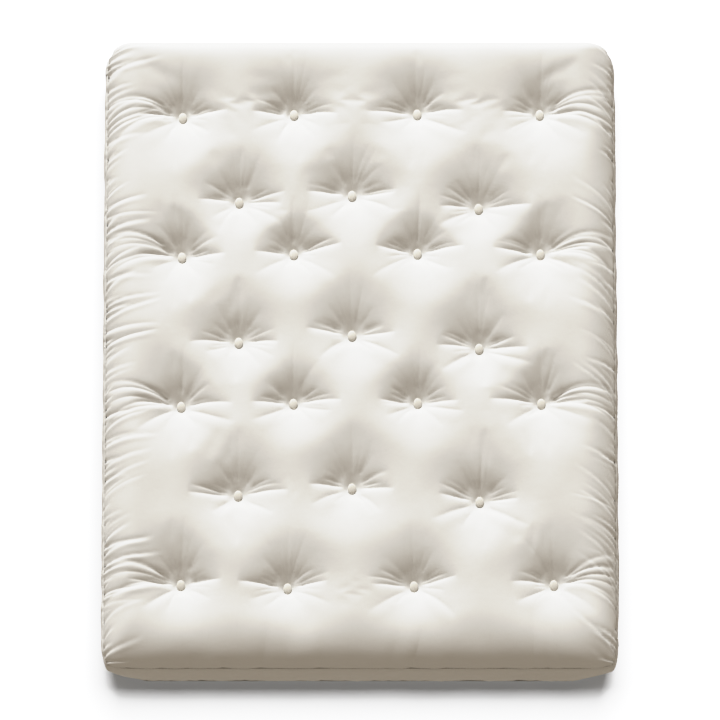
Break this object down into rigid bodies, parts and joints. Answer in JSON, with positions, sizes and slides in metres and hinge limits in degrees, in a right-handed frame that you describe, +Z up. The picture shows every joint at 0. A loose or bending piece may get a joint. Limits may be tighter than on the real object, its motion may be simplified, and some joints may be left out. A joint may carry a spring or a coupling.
{
  "type": "futon mattress",
  "caption": "Button-tufted futon mattress with a sewn cotton case, boxed edges, layered cotton batting over a foam core, and a lengthwise fold down the middle",
  "frame": {"origin": "bottom centre of the mattress lying flat, on the floor plane", "axes": "+X to the right seen from the foot end, across the fold; +Y toward the head end, along the fold; +Z up through the tufted top"},
  "size_m": [1.5274, 2.0354, 0.2],
  "materials": {
    "cover_cloth": "matte",
    "button_cloth": "matte",
    "batting": "matte",
    "foam": "matte",
    "felt": "matte",
    "twine": "matte",
    "thread": "matte"
  },
  "bodies": {
    "seat_half": {"seat_bottom_panel": "cover_cloth", "seat_bottom_seam_thread": "thread", "seat_boxing_foot": "cover_cloth", "seat_boxing_head": "cover_cloth", "seat_boxing_side": "cover_cloth", "seat_button_r1_c1": "button_cloth", "seat_button_r1_c2": "button_cloth", "seat_button_r2_c1": "button_cloth", "seat_button_r2_c2": "button_cloth", "seat_button_r3_c1": "button_cloth", "seat_button_r3_c2": "button_cloth", "seat_button_r4_c1": "button_cloth", "seat_button_r4_c2": "button_cloth", "seat_button_r5_c1": "button_cloth", "seat_button_r5_c2": "button_cloth", "seat_button_r6_c1": "button_cloth", "seat_button_r6_c2": "button_cloth", "seat_button_r7_c1": "button_cloth", "seat_button_r7_c2": "button_cloth", "seat_cotton_batt_1": "batting", "seat_cotton_batt_2": "batting", "seat_cotton_batt_3": "batting", "seat_cotton_batt_4": "batting", "seat_cotton_batt_5": "batting", "seat_cotton_batt_6": "batting", "seat_felt_washers": "felt", "seat_foam_core": "foam", "seat_top_panel": "cover_cloth", "seat_top_seam_thread": "thread", "seat_tufting_twine": "twine", "seat_under_buttons": "button_cloth"},
    "back_half": {"back_bottom_panel": "cover_cloth", "back_bottom_seam_thread": "thread", "back_boxing_foot": "cover_cloth", "back_boxing_head": "cover_cloth", "back_boxing_side": "cover_cloth", "back_button_r1_c3": "button_cloth", "back_button_r1_c4": "button_cloth", "back_button_r2_c3": "button_cloth", "back_button_r3_c3": "button_cloth", "back_button_r3_c4": "button_cloth", "back_button_r4_c3": "button_cloth", "back_button_r5_c3": "button_cloth", "back_button_r5_c4": "button_cloth", "back_button_r6_c3": "button_cloth", "back_button_r7_c3": "button_cloth", "back_button_r7_c4": "button_cloth", "back_cotton_batt_1": "batting", "back_cotton_batt_2": "batting", "back_cotton_batt_3": "batting", "back_cotton_batt_4": "batting", "back_cotton_batt_5": "batting", "back_cotton_batt_6": "batting", "back_felt_washers": "felt", "back_foam_core": "foam", "back_top_panel": "cover_cloth", "back_top_seam_thread": "thread", "back_tufting_twine": "twine", "back_under_buttons": "button_cloth"}
  },
  "joints": [
    {"name": "fold", "type": "hinge", "parent": "seat_half", "child": "back_half", "pos_m": [0, 0, 0.202], "axis": [0, -1, 0], "range_deg": [0, 179]}
  ]
}
